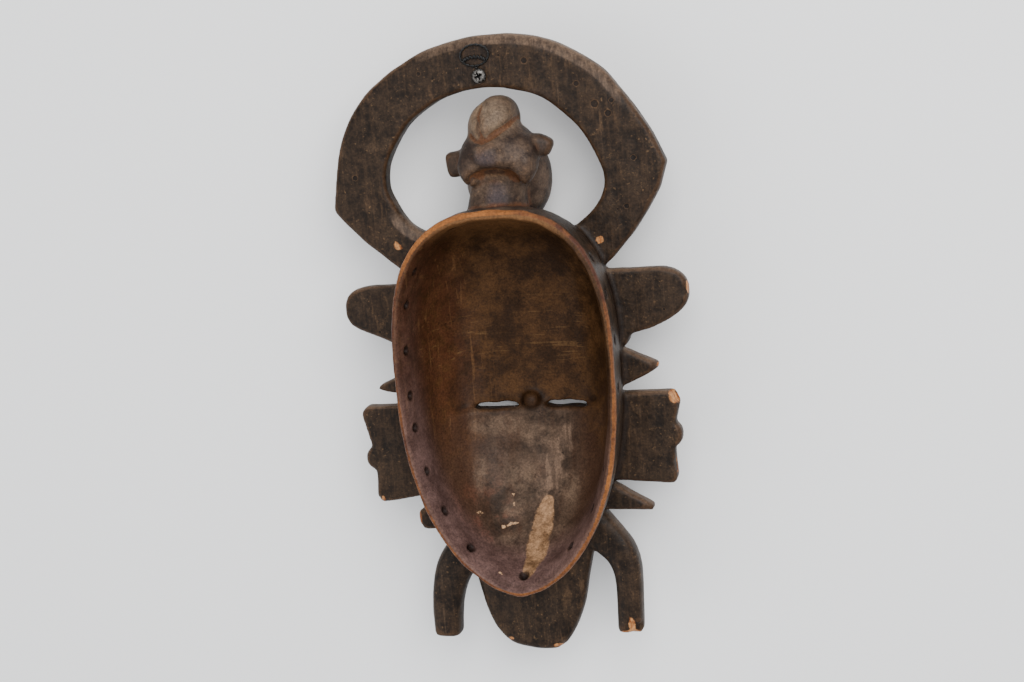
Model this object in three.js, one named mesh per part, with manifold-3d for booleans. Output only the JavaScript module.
// A carved wooden face mask, lying on its face with its hollow up.
// +X runs across the mask, +Y up it to the ring, +Z from the face to the opening of the hollow.
// The mask is one carving. A wire loop under a screw in the back of the ring hangs it on a wall.
import * as THREE from 'three';
import { mergeVertices } from 'three/addons/utils/BufferGeometryUtils.js';
import Module from 'manifold-3d';

const wasm = await Module();
wasm.setup();

// Heights above the surface that the face rests on.
const rimHeight = 87;
const boardHeight = 50;

// The bowl: an egg outline round its widest line, deep as a cupped pair of hands.
const bowlHalfWidth = 63;
const bowlRise = 89;
const bowlDrop = 133;
const bowlWidestY = 22;
const wallThickness = 6;
const lipThickness = 2.6;
const lipDepth = 14;
const floorThickness = 8;
const hollowDepth = 67;
const rimRounding = 1.6;

// The board forms: ring, lugs and teeth share one back face.
const ringReach = 100;
const ringThickness = 13;
const lugThickness = 10;
const boardBevel = 1.2;
const rootDepth = 14;
const ringCentreY = 130;

// The legs and the tongue are thicker, with rounded edges.
const legRootY = -67;
const legLength = 80;
const legThickness = 16;
const legRounding = 4;
const tongueRootY = -72;
const tongueLength = 85;
const tongueThickness = 18;
const tongueRounding = 4;

// Openings through the wall.
const eyeSlitLength = 28;
const eyeSlitWidth = 4;
const eyeLineY = -13;
const eyeOffset = 21.5;
const rimHoleDiameter = 5;
const rimHoleBelowRim = 11;
const innerKnobDiameter = 11;

// The small head in the ring, carved on a neck that grows from the top of the bowl.
const headX = 0.5;
const headY = 139;
const headHeightAboveTable = 52;
const headHalfWidth = 23.2;
const headHalfHeight = 16;
const headHalfDepth = 22;
const neckHalfWidth = 16;
const neckHalfDepth = 15;

// The hanger: a screw in a blind pilot hole and a wire loop under its head.
const screwX = -7;
const screwY = 183.6;
const screwHeadDiameter = 8.4;
const screwHeadHeight = 3;
const screwShankDiameter = 4;
const screwShankLength = 9;
const fitClearance = 0.3;
const wireDiameter = 1.3;
const loopHalfWidth = 8.2;
const loopHalfHeight = 5.9;

const roundSides = 8;

// A closed geometry becomes a solid: corners that meet are merged, flat slivers at the poles
// dropped, and a mesh that a mirror turned inside out is turned back.
function solidOf(geometry) {
  const bare = geometry.clone();
  bare.deleteAttribute('normal');
  bare.deleteAttribute('uv');
  const merged = mergeVertices(bare, 1e-4);
  const corners = merged.attributes.position;
  const index = merged.index.array;
  const triangles = [];
  const a = new THREE.Vector3();
  const b = new THREE.Vector3();
  const c = new THREE.Vector3();
  let volume = 0;
  for (let i = 0; i < index.length; i += 3) {
    const [p, q, r] = [index[i], index[i + 1], index[i + 2]];
    if (p === q || q === r || r === p) continue;
    triangles.push([p, q, r]);
    a.fromBufferAttribute(corners, p);
    b.fromBufferAttribute(corners, q);
    c.fromBufferAttribute(corners, r);
    volume += a.dot(b.cross(c));
  }
  const outward = volume < 0 ? triangles.map(([p, q, r]) => [p, r, q]) : triangles;
  return new wasm.Manifold(new wasm.Mesh({
    numProp: 3,
    vertProperties: new Float32Array(corners.array),
    triVerts: new Uint32Array(outward.flat()),
  }));
}

function joinAll(solids) {
  return solids.reduce((whole, part) => whole.add(part));
}

function meshOf(name, solid, material) {
  const { vertProperties, triVerts } = solid.getMesh();
  const geometry = new THREE.BufferGeometry();
  geometry.setAttribute('position', new THREE.BufferAttribute(new Float32Array(vertProperties), 3));
  geometry.setIndex(new THREE.BufferAttribute(new Uint32Array(triVerts), 1));
  geometry.computeVertexNormals();
  const mesh = new THREE.Mesh(geometry, material);
  mesh.name = name;
  return mesh;
}

// A ball stretched to three half sizes.
function ellipsoid(x, y, z, halfX, halfY, halfZ, around = 12, over = 7) {
  const ball = new THREE.SphereGeometry(1, around, over);
  ball.rotateX(Math.PI / 2);
  ball.scale(halfX, halfY, halfZ);
  ball.translate(x, y, z);
  return solidOf(ball);
}

function block(x, y, z, sizeX, sizeY, sizeZ) {
  const box = new THREE.BoxGeometry(sizeX, sizeY, sizeZ);
  box.translate(x, y, z);
  return solidOf(box);
}

// An outline given thickness, its top face at a stated height and its edges bevelled.
function plate(shape, top, thickness, bevel, bevelSegments = 1, curveSegments = 5) {
  const geometry = new THREE.ExtrudeGeometry(shape, {
    depth: thickness - 2 * bevel,
    bevelThickness: bevel,
    bevelSize: bevel,
    bevelOffset: -bevel,
    bevelSegments,
    curveSegments,
  });
  geometry.translate(0, 0, top - thickness + bevel);
  return solidOf(geometry);
}

// A rod of round section along a curve.
function rod(curve, radius, steps) {
  const section = new THREE.Shape().absarc(0, 0, radius, 0, 2 * Math.PI);
  const geometry = new THREE.ExtrudeGeometry(section, { extrudePath: curve, steps, curveSegments: 3 });
  return solidOf(geometry);
}

const vec = (x, y) => new THREE.Vector2(x, y);

// The bowl's outline at an angle: a broad top and a drop that narrows to the chin.
const topFullness = 2.6;
const chinFullness = 2.5;
const chinTaper = 0.59;
function eggPoint(angle, halfWidth, rise, drop) {
  const across = Math.cos(angle);
  const along = Math.sin(angle);
  if (along >= 0) {
    const power = 2 / topFullness;
    return [Math.sign(across) * halfWidth * Math.abs(across) ** power, rise * along ** power];
  }
  return [Math.sign(across) * halfWidth * Math.abs(across) ** (2 * chinTaper),
    -drop * (-along) ** (2 / chinFullness)];
}

function bowlHalfWidthAt(y) {
  if (y >= bowlWidestY) {
    const share = Math.min(1, (y - bowlWidestY) / bowlRise);
    return bowlHalfWidth * (1 - share ** topFullness) ** (1 / topFullness);
  }
  const share = Math.min(1, (bowlWidestY - y) / bowlDrop);
  return bowlHalfWidth * (1 - share ** chinFullness) ** chinTaper;
}

// The walls drop steeply at the top and sides and slope more gently towards the chin.
const sideSteepness = 3.2;
const chinSteepness = 2.2;
function steepness(angle) {
  const towardsChin = Math.max(0, -Math.sin(angle)) ** 3;
  return sideSteepness + (chinSteepness - sideSteepness) * towardsChin;
}

// The wall thins to a lip at the opening, most of all at the chin and hardly at the top.
function lipFlare(angle) {
  const up = Math.max(0, Math.sin(angle));
  const down = Math.max(0, -Math.sin(angle)) ** 3;
  return (wallThickness - lipThickness) * (1 - 0.6 * up ** 2 + 0.9 * down);
}

const domeSegments = 44;
const domeTurns = [0, 0.125, 0.25, 0.375, 0.5, 0.625, 0.75, 0.875, 1];
const hollowTurns = [0, 0.125, 0.25, 0.375, 0.5, 0.625, 0.75, 0.86, 0.955, 0.99, 1];

// A dome under the egg outline. Rows below its brim follow the wall, at shares of a quarter
// turn; rows above it, given as a share of the outline and a height, close it or carry it on
// upwards. A flare widens the wall's last stretch below the brim.
function eggDome({ halfWidth, rise, drop, depth, turns, rowsAbove, flare }) {
  const profile = turns.map((quarter) => vec(
    Math.sin(quarter * Math.PI / 2), quarter === 1 ? 0 : -Math.cos(quarter * Math.PI / 2)));
  for (const [share, height] of rowsAbove) profile.push(vec(share, height));
  const geometry = new THREE.LatheGeometry(profile, domeSegments);
  const corners = geometry.attributes.position;
  for (let i = 0; i < corners.count; i += 1) {
    const radius = Math.hypot(corners.getX(i), corners.getZ(i));
    const height = corners.getY(i);
    const angle = Math.atan2(corners.getZ(i), corners.getX(i));
    const power = 2 / steepness(angle);
    const below = height > 0 ? -height : depth * (-height) ** power;
    const [x, y] = eggPoint(angle, halfWidth, rise, drop);
    const widening = radius > 0 ? flare(angle) * Math.max(0, 1 - Math.max(0, below) / lipDepth) ** 2 : 0;
    const share = (height > 0 ? radius : radius ** power) + widening / Math.hypot(x, y);
    corners.setXYZ(i, x * share, bowlWidestY + y * share, brimHeight - below);
  }
  return solidOf(geometry);
}

const bowlDepth = hollowDepth + floorThickness;
const brimHeight = rimHeight - rimRounding;
const inner = {
  halfWidth: bowlHalfWidth - wallThickness,
  rise: bowlRise - wallThickness,
  drop: bowlDrop - 1.6 * wallThickness,
};

const outer = { halfWidth: bowlHalfWidth, rise: bowlRise, drop: bowlDrop };

function bowlOutside() {
  const lip = 1 - rimRounding / bowlHalfWidth;
  return eggDome({
    ...outer,
    depth: bowlDepth - rimRounding,
    turns: domeTurns,
    rowsAbove: [[lip, rimRounding], [0, rimRounding]],
    flare: () => 0,
  });
}

const overshoot = 6;
function bowlHollow() {
  const lip = 1 + 0.4 * rimRounding / inner.halfWidth;
  return eggDome({
    ...inner,
    depth: hollowDepth - rimRounding,
    turns: hollowTurns,
    rowsAbove: [[lip, rimRounding], [lip, rimRounding + overshoot], [0, rimRounding + overshoot]],
    flare: lipFlare,
  });
}

// Height of the face's outer surface over a place in the plan.
function faceHeight(x, y) {
  const fromWidest = y - bowlWidestY;
  let low = 0;
  let high = Math.PI / 2;
  const side = fromWidest >= 0 ? 1 : -1;
  for (let pass = 0; pass < 30; pass += 1) {
    const middle = (low + high) / 2;
    const [edgeX, edgeY] = eggPoint(side * middle, bowlHalfWidth, bowlRise, bowlDrop);
    if (Math.abs(edgeY) * Math.abs(x) > Math.abs(fromWidest) * edgeX) high = middle;
    else low = middle;
  }
  const angle = side * (low + high) / 2;
  const [edgeX, edgeY] = eggPoint(angle, bowlHalfWidth, bowlRise, bowlDrop);
  const share = Math.min(1, Math.hypot(x, fromWidest) / Math.hypot(edgeX, edgeY));
  const power = steepness(angle);
  return brimHeight - (bowlDepth - rimRounding) * (1 - share ** power) ** (1 / power);
}

// The ring: corners stand out low at both sides, and its hole is widest low down. Its outline
// is in shares of the ring's reach from its middle.
const ringRightFoot = [[0.6, -0.54], [0.725, -0.405], [0.816, -0.281], [0.895, -0.152], [0.942, -0.01]];
const ringOver = [[0.85, 0.19], [0.708, 0.407], [0.574, 0.558], [0.306, 0.712], [0, 0.762],
  [-0.311, 0.722], [-0.546, 0.625], [-0.777, 0.457], [-0.932, 0.205], [-1.01, -0.175]];
const ringLeftFoot = [[-0.95, -0.248], [-0.86, -0.348], [-0.64, -0.54]];
const ringHoleOver = [[0.575, 0], [0.49, 0.18], [0.37, 0.313], [0.23, 0.412], [0, 0.468], [-0.18, 0.46],
  [-0.35, 0.41], [-0.523, 0.296], [-0.65, 0.116], [-0.685, -0.03], [-0.658, -0.139], [-0.548, -0.3]];
const ringHoleRight = [[0.49, -0.28], [0.565, -0.19], [0.592, -0.1]];
function ringPlate() {
  const at = ([x, y]) => vec(x * ringReach, ringCentreY + y * ringReach);
  const shape = new THREE.Shape();
  const root = ringCentreY - 0.66 * ringReach;
  shape.moveTo(rootInside(1, root + rootDepth), root);
  for (const place of ringRightFoot.map(at)) shape.lineTo(place.x, place.y);
  shape.splineThru(ringOver.map(at));
  for (const place of ringLeftFoot.map(at)) shape.lineTo(place.x, place.y);
  shape.lineTo(rootInside(-1, root + rootDepth), root);
  const hole = new THREE.Path();
  const start = at(ringHoleRight.at(-1));
  hole.moveTo(start.x, start.y);
  hole.splineThru(ringHoleOver.map(at));
  hole.lineTo(-0.3 * ringReach, ringCentreY - 0.42 * ringReach);
  hole.lineTo(0.3 * ringReach, ringCentreY - 0.42 * ringReach);
  hole.splineThru(ringHoleRight.map(at));
  shape.holes.push(hole);
  return plate(shape, boardHeight, ringThickness, boardBevel, 1, 2);
}

// Roots of the side forms end inside the bowl's wall, wherever the wall stands at that height.
function rootInside(side, y) {
  return side * (bowlHalfWidthAt(y) - rootDepth);
}

// Sizes of the two sides differ a little, as hand carving does. Places along X are how far a
// form stands out past the widest half width of the bowl.
const sides = {
  right: {
    side: 1,
    ear: { topY: 69.6, out: 39.1, tipY: 55.5, underOut: 17, underY: 35.5, rootY: 29 },
    upperTooth: { topY: 29, out: 19.5, tipY: 13.6, rootY: -2 },
    lug: { topY: -1.7, out: 30, cornerY: -8, waistY: -21, knobOut: 30.8, lowOut: 26.6, lowY: -55.8, rootY: -52 },
    lowerTooth: { topY: -50, out: 11.8, tipY: -70.4, rootY: -70 },
  },
  left: {
    side: -1,
    ear: { topY: 66.8, out: 37, tipY: 54, underOut: 19, underY: 37.4, rootY: 21 },
    upperTooth: { topY: 20.5, out: 21.5, tipY: 6.3, rootY: -1 },
    lug: { topY: -5, out: 33.6, cornerY: -9, waistY: -30, knobOut: 33.8, lowOut: 28.4, lowY: -63.6, rootY: -56 },
    lowerTooth: null,
  },
};

function earLug({ side, ear }) {
  const x = (out) => side * (bowlHalfWidth + out);
  const shape = new THREE.Shape();
  shape.moveTo(rootInside(side, ear.topY), ear.topY);
  shape.lineTo(x(ear.out - 17), ear.topY);
  shape.bezierCurveTo(x(ear.out - 5), ear.topY, x(ear.out), ear.tipY + 8, x(ear.out), ear.tipY);
  shape.bezierCurveTo(x(ear.out), ear.tipY - 10, x(ear.underOut + 14), ear.underY + 6,
    x(ear.underOut), ear.underY);
  shape.lineTo(rootInside(side, ear.rootY), ear.rootY);
  return plate(shape, boardHeight, lugThickness, boardBevel);
}

const toothBlunting = 1;
function tooth(side, { topY, out, tipY, rootY }) {
  const tipX = side * (bowlHalfWidth + out);
  const shape = new THREE.Shape();
  shape.moveTo(rootInside(side, topY), topY + 1);
  shape.lineTo(tipX, tipY + toothBlunting);
  shape.lineTo(tipX, tipY - toothBlunting);
  shape.quadraticCurveTo((tipX + rootInside(side, rootY)) / 2 + side * 4, (tipY + rootY) / 2 - toothBlunting,
    rootInside(side, rootY), rootY);
  return plate(shape, boardHeight, lugThickness, boardBevel * 0.6);
}

const lugKnobHalf = 5.8;
function sideLug({ side, lug }) {
  const x = (out) => side * (bowlHalfWidth + out);
  const knobY = lug.waistY - lugKnobHalf - 1;
  const shape = new THREE.Shape();
  shape.moveTo(rootInside(side, lug.topY), lug.topY);
  shape.lineTo(x(lug.out - 3), lug.topY);
  shape.lineTo(x(lug.out), lug.cornerY);
  shape.lineTo(x(lug.lowOut), lug.waistY);
  shape.bezierCurveTo(x(lug.knobOut), knobY + lugKnobHalf, x(lug.knobOut), knobY - lugKnobHalf,
    x(lug.lowOut - 1), knobY - lugKnobHalf);
  shape.lineTo(x(lug.lowOut - 0.8), (lug.lowY + lug.waistY) / 2 - 4);
  shape.lineTo(x(lug.lowOut), lug.lowY + 4);
  shape.lineTo(x(lug.lowOut - 2), lug.lowY);
  shape.lineTo(rootInside(side, lug.rootY), lug.rootY);
  return plate(shape, boardHeight, lugThickness, boardBevel);
}

// The lower left tooth broke off long ago and left a short stub.
const stub = { topY: -66, bottomY: -80.5, out: 3.8 };
function brokenTooth() {
  const shape = new THREE.Shape();
  shape.moveTo(rootInside(-1, stub.topY), stub.topY);
  shape.lineTo(-bowlHalfWidth - stub.out, stub.topY - 3);
  shape.lineTo(-bowlHalfWidth - stub.out, stub.topY - 10);
  shape.lineTo(-bowlHalfWidth - stub.out + 3, stub.bottomY);
  shape.lineTo(rootInside(-1, stub.bottomY), stub.bottomY);
  return plate(shape, boardHeight, lugThickness, boardBevel * 0.6);
}

// The legs bow outwards from the bowl and end in square feet. Their outlines are in shares of
// the right leg's length below its root.
function runThrough(shape, size, top, places) {
  for (const [kind, ...points] of places) {
    const run = points.map(([x, y]) => vec(x * size, top + y * size));
    if (kind === 'curve') shape.splineThru(run);
    else for (const place of run) shape.lineTo(place.x, place.y);
  }
}

function rightLeg() {
  const shape = new THREE.Shape();
  shape.moveTo(0.325 * legLength, legRootY - 0.2 * legLength);
  runThrough(shape, legLength, legRootY, [
    ['lines', [0.54, 0], [0.63, -0.17]],
    ['curve', [0.72, -0.28], [0.783, -0.4], [0.795, -0.56]],
    ['lines', [0.78, -0.993], [0.6, -0.993], [0.607, -0.59]],
    ['curve', [0.571, -0.479], [0.5275, -0.41], [0.469, -0.375]],
    ['lines', [0.3, -0.41]],
  ]);
  return plate(shape, boardHeight, legThickness, legRounding, 2, 3);
}

function leftLeg() {
  const shape = new THREE.Shape();
  shape.moveTo(-0.3 * legLength, legRootY - 0.41 * legLength);
  runThrough(shape, legLength, legRootY, [
    ['lines', [-0.45, -0.5]],
    ['curve', [-0.54, -0.62], [-0.59, -0.75]],
    ['lines', [-0.62, -1.015], [-0.809, -1.015], [-0.795, -0.64]],
    ['curve', [-0.759, -0.49], [-0.719, -0.398], [-0.65, -0.306]],
    ['lines', [-0.525, -0.163], [-0.325, -0.213]],
  ]);
  return plate(shape, boardHeight, legThickness, legRounding, 2, 3);
}

// The tongue below the chin, in shares of its length below its root.
function tongue() {
  const shape = new THREE.Shape();
  shape.moveTo(0.4 * tongueLength, tongueRootY);
  runThrough(shape, tongueLength, tongueRootY, [
    ['lines', [0.42, -0.3]],
    ['curve', [0.375, -0.473], [0.327, -0.693], [0.2435, -0.88], [0.153, -0.982], [0.024, -1.002],
      [-0.17, -0.965], [-0.288, -0.865], [-0.362, -0.694], [-0.41, -0.482]],
    ['lines', [-0.44, -0.29], [-0.41, 0]],
  ]);
  return plate(shape, boardHeight, tongueThickness, tongueRounding, 2, 2);
}

// Eye slits, cut through the floor and the lids.
function eyeSlit(side) {
  const half = eyeSlitLength / 2 - eyeSlitWidth / 2;
  const shape = new THREE.Shape();
  shape.moveTo(-half, -eyeSlitWidth / 2);
  shape.absarc(half, 0, eyeSlitWidth / 2, -Math.PI / 2, Math.PI / 2);
  shape.absarc(-half, 0, eyeSlitWidth / 2, Math.PI / 2, Math.PI * 1.5);
  const depth = rimHeight;
  const geometry = new THREE.ExtrudeGeometry(shape, { depth, bevelEnabled: false, curveSegments: 4 });
  geometry.translate(side * eyeOffset + 0.8, eyeLineY, -overshoot);
  return solidOf(geometry);
}

// Holes for the fringe run square through the wall, a little below the rim.
const rimHoleHeights = [80.5, 60, 33.5, 8, -11, -38, -63, -87];
const topHoleOffset = 22;
function rimHoles() {
  const cutters = [];
  const height = rimHeight - rimHoleBelowRim;
  const cut = (x, y, outward) => {
    const cylinder = new THREE.CylinderGeometry(rimHoleDiameter / 2, rimHoleDiameter / 2,
      4 * wallThickness + overshoot, roundSides);
    cylinder.rotateZ(outward - Math.PI / 2);
    cylinder.translate(x, y, height);
    cutters.push(solidOf(cylinder));
  };
  const outwardAt = (y) => {
    const slope = (bowlHalfWidthAt(y + 1) - bowlHalfWidthAt(y - 1)) / 2;
    return Math.atan2(-slope, 1);
  };
  for (const y of rimHoleHeights) {
    const x = bowlHalfWidthAt(y) - wallThickness / 2;
    const outward = outwardAt(y);
    cut(x, y, outward);
    cut(-x, y, Math.PI - outward);
  }
  const topY = bowlWidestY + bowlRise - 1.5 * wallThickness;
  cut(topHoleOffset, topY, Math.PI * 0.44);
  cut(-topHoleOffset, topY, Math.PI * 0.56);
  cut(0, bowlWidestY - bowlDrop + wallThickness, -Math.PI / 2);
  return cutters;
}

// The face: long nose, arched brows, half-closed lids and a small mouth, calm and plain.
const browY = eyeLineY + 17;
const noseTipY = eyeLineY - 34;
const mouthY = noseTipY - 19;
const noseHalfWidth = 8;
const mouthHalfWidth = 15;
const flatSpot = 1.5;
function faceRelief() {
  const parts = [];
  const bridge = new THREE.CylinderGeometry(4.5, noseHalfWidth, browY - noseTipY, 14);
  bridge.rotateX(-0.14);
  bridge.translate(0, (browY + noseTipY) / 2, faceHeight(0, eyeLineY - 8) - 1);
  parts.push(solidOf(bridge));
  const noseSurface = faceHeight(0, noseTipY + 4);
  parts.push(ellipsoid(0, noseTipY + 4, noseSurface / 2, noseHalfWidth + 1.5, 6,
    noseSurface / 2 + flatSpot));
  for (const side of [-1, 1]) {
    parts.push(ellipsoid(side * (noseHalfWidth - 1), noseTipY + 4.5, noseSurface - 4,
      4.5, 4.5, 6, 8, 6));
    const browPoints = [[2, browY - 5], [14, browY + 3], [30, browY + 3], [46, browY - 9]].map(
      ([x, y]) => new THREE.Vector3(side * x, y, faceHeight(x, y) - 0.5));
    parts.push(rod(new THREE.CatmullRomCurve3(browPoints), 4.5, 10));
    parts.push(ellipsoid(side * eyeOffset + 0.8, eyeLineY, faceHeight(eyeOffset, eyeLineY) + 1,
      eyeSlitLength / 2 + 4, 7.5, 5.5));
  }
  const mouthSurface = faceHeight(0, mouthY);
  parts.push(ellipsoid(0, mouthY, mouthSurface - 2, mouthHalfWidth, 9, mouthSurface - 2 + flatSpot));
  return joinAll(parts);
}

function mouthLine() {
  return block(0, mouthY, 0, 1.25 * mouthHalfWidth, 2.2, 8);
}

// The small head looks the same way as the mask. Its long face hangs in front of the neck.
const smallFaceY = headY - 15;
function smallHead() {
  const z = headHeightAboveTable;
  const parts = [];
  const neckBottom = bowlWidestY + bowlRise - 20;
  const neck = new THREE.CylinderGeometry(neckHalfWidth, neckHalfWidth + 3, headY - 4 - neckBottom, 16);
  neck.scale(1, 1, neckHalfDepth / neckHalfWidth);
  neck.translate(headX - 1, (headY - 4 + neckBottom) / 2, z + 3);
  parts.push(solidOf(neck));
  parts.push(ellipsoid(headX, headY, z, headHalfWidth, headHalfHeight, headHalfDepth, 16, 9));
  for (const side of [-1, 1]) {
    parts.push(ellipsoid(headX + side * 0.62 * headHalfWidth, headY - 0.62 * headHalfHeight, z + 3,
      0.36 * headHalfWidth, 0.53 * headHalfHeight, 0.68 * headHalfDepth, 10, 7));
  }
  parts.push(ellipsoid(headX + 1.5, headY + 1, z + 0.75 * headHalfDepth, 10, 6.5, 7.5, 10, 6));
  const crestY = headY + headHalfHeight + 3.4;
  parts.push(ellipsoid(headX + 1, crestY, z - 2, 14, 14, 17));
  const knot = new THREE.CylinderGeometry(3.2, 6.5, 13, 12);
  knot.rotateX(Math.PI / 2 - 0.5);
  knot.rotateZ(-0.3);
  knot.translate(headX - 5.5, crestY - 7.5, z + 13);
  parts.push(solidOf(knot));
  parts.push(smallEar(-1, headX - headHalfWidth - 3.3, headY - 4));
  parts.push(smallEar(1, headX + headHalfWidth + 2.5, headY + 4));
  parts.push(smallFace(headX + 0.5, smallFaceY));
  return joinAll(parts);
}

function smallEar(side, x, y) {
  const ear = new THREE.BoxGeometry(12, 13, 8);
  ear.rotateZ(side * -0.2);
  ear.translate(x, y, headHeightAboveTable);
  return solidOf(ear);
}

function smallFace(x, y) {
  const parts = [ellipsoid(x, y, 28, 24, 28, 24.5, 16, 8)];
  const nose = new THREE.CylinderGeometry(2, 3.6, 20, 10);
  nose.rotateX(-0.1);
  nose.translate(x, y - 1, 3);
  parts.push(solidOf(nose));
  for (const side of [-1, 1]) {
    const browPoints = [[1, 9], [7, 12], [14, 9]].map(
      ([dx, dy]) => new THREE.Vector3(x + side * dx, y + dy, 3 + 0.012 * dx * dx + 0.006 * dy * dy));
    parts.push(rod(new THREE.CatmullRomCurve3(browPoints), 3, 6));
    parts.push(ellipsoid(x + side * 8.5, y + 4.5, 6, 5.5, 2.6, 3, 8, 6));
  }
  parts.push(ellipsoid(x, y - 15.5, 7, 7, 3.2, 5, 8, 6));
  return joinAll(parts);
}

// The rough knob left inside, between the eye slits.
function innerKnob() {
  const half = innerKnobDiameter / 2;
  return ellipsoid(1, eyeLineY + 2, rimHeight - hollowDepth + 1, half, half, 4.5, 12, 8);
}

const pilotDiameter = screwShankDiameter + 2 * fitClearance;
const headUnderside = boardHeight + 2 * fitClearance + wireDiameter;
function pilotHole() {
  const depth = screwShankLength - (headUnderside - boardHeight) + fitClearance;
  const hole = new THREE.CylinderGeometry(pilotDiameter / 2, pilotDiameter / 2, depth + overshoot, 16);
  hole.rotateX(Math.PI / 2);
  hole.translate(screwX, screwY, boardHeight - depth + (depth + overshoot) / 2);
  return solidOf(hole);
}

function maskSolid() {
  const carved = [bowlOutside(), ringPlate(), rightLeg(), leftLeg(), tongue(), brokenTooth(),
    smallHead(), faceRelief()];
  for (const form of [sides.right, sides.left]) {
    carved.push(earLug(form), sideLug(form), tooth(form.side, form.upperTooth));
    if (form.lowerTooth) carved.push(tooth(form.side, form.lowerTooth));
  }
  let mask = joinAll(carved);
  const cuts = [bowlHollow(), eyeSlit(-1), eyeSlit(1), mouthLine(), pilotHole(), ...rimHoles()];
  for (const cut of cuts) mask = mask.subtract(cut);
  const table = block(0, bowlWidestY, -50, 600, 900, 100);
  return mask.subtract(table).add(innerKnob().subtract(table));
}

// A pan-head screw with a cross recess.
function screwSolid() {
  const headHalf = screwHeadDiameter / 2;
  const shankHalf = screwShankDiameter / 2;
  const outline = [[0, 0], [shankHalf * 0.4, 0], [shankHalf, 1.6], [shankHalf, screwShankLength],
    [headHalf, screwShankLength], [headHalf, screwShankLength + screwHeadHeight * 0.45],
    [headHalf * 0.8, screwShankLength + screwHeadHeight * 0.85],
    [headHalf * 0.4, screwShankLength + screwHeadHeight], [0, screwShankLength + screwHeadHeight]];
  const screw = new THREE.LatheGeometry(outline.map(([r, h]) => vec(r, h)), 14);
  screw.rotateX(Math.PI / 2);
  screw.translate(screwX, screwY, headUnderside - screwShankLength);
  const top = headUnderside + screwHeadHeight;
  const recess = block(screwX, screwY, top, headHalf * 1.1, 0.9, 2.2)
    .add(block(screwX, screwY, top, 0.9, headHalf * 1.1, 2.2));
  return solidOf(screw).subtract(recess);
}

// A ring of wire bent to an oval, its section kept round.
function wireOval(x, y, z, halfX, halfY, radius, steps) {
  const ring = new THREE.TorusGeometry(10, radius, 6, steps);
  const corners = ring.attributes.position;
  for (let i = 0; i < corners.count; i += 1) {
    const turn = Math.atan2(corners.getY(i), corners.getX(i));
    const out = Math.hypot(corners.getX(i), corners.getY(i)) - 10;
    corners.setXY(i, (halfX + out) * Math.cos(turn), (halfY + out) * Math.sin(turn));
  }
  ring.translate(x, y, z);
  return solidOf(ring);
}

function loopSolid() {
  const wireRadius = wireDiameter / 2;
  const height = boardHeight + fitClearance + wireRadius;
  const eyeHalf = screwShankDiameter / 2 + fitClearance + wireRadius;
  const eye = wireOval(screwX, screwY, height, eyeHalf, eyeHalf, wireRadius, 12);
  const loopX = screwX - 2.2;
  const loopY = screwY + eyeHalf + 2.8 + loopHalfHeight;
  const loop = wireOval(loopX, loopY, height, loopHalfWidth, loopHalfHeight, wireRadius, 24);
  const neck = [[-0.6, eyeHalf - 0.4], [-1.4, eyeHalf + 1.5], [-2, eyeHalf + 3.2]].map(
    ([dx, dy]) => new THREE.Vector3(screwX + dx, screwY + dy, height + wireRadius * 0.2));
  return joinAll([eye, loop, rod(new THREE.CatmullRomCurve3(neck), wireRadius * 1.2, 4)]);
}

const wood = new THREE.MeshStandardMaterial({ color: 0x352820, roughness: 0.62, metalness: 0 });
const steel = new THREE.MeshStandardMaterial({ color: 0x9a958c, roughness: 0.35, metalness: 0.9 });
const blackWire = new THREE.MeshStandardMaterial({ color: 0x1b1a19, roughness: 0.5, metalness: 0.6 });

const whole = new THREE.Group();
whole.add(meshOf('mask', maskSolid(), wood));
whole.add(meshOf('hanger_screw', screwSolid(), steel));
whole.add(meshOf('hanger_loop', loopSolid(), blackWire));

// The origin is under the middle of the whole.
const box = new THREE.Box3().setFromObject(whole);
whole.position.set(-(box.min.x + box.max.x) / 2, -(box.min.y + box.max.y) / 2, -box.min.z);

export default whole;
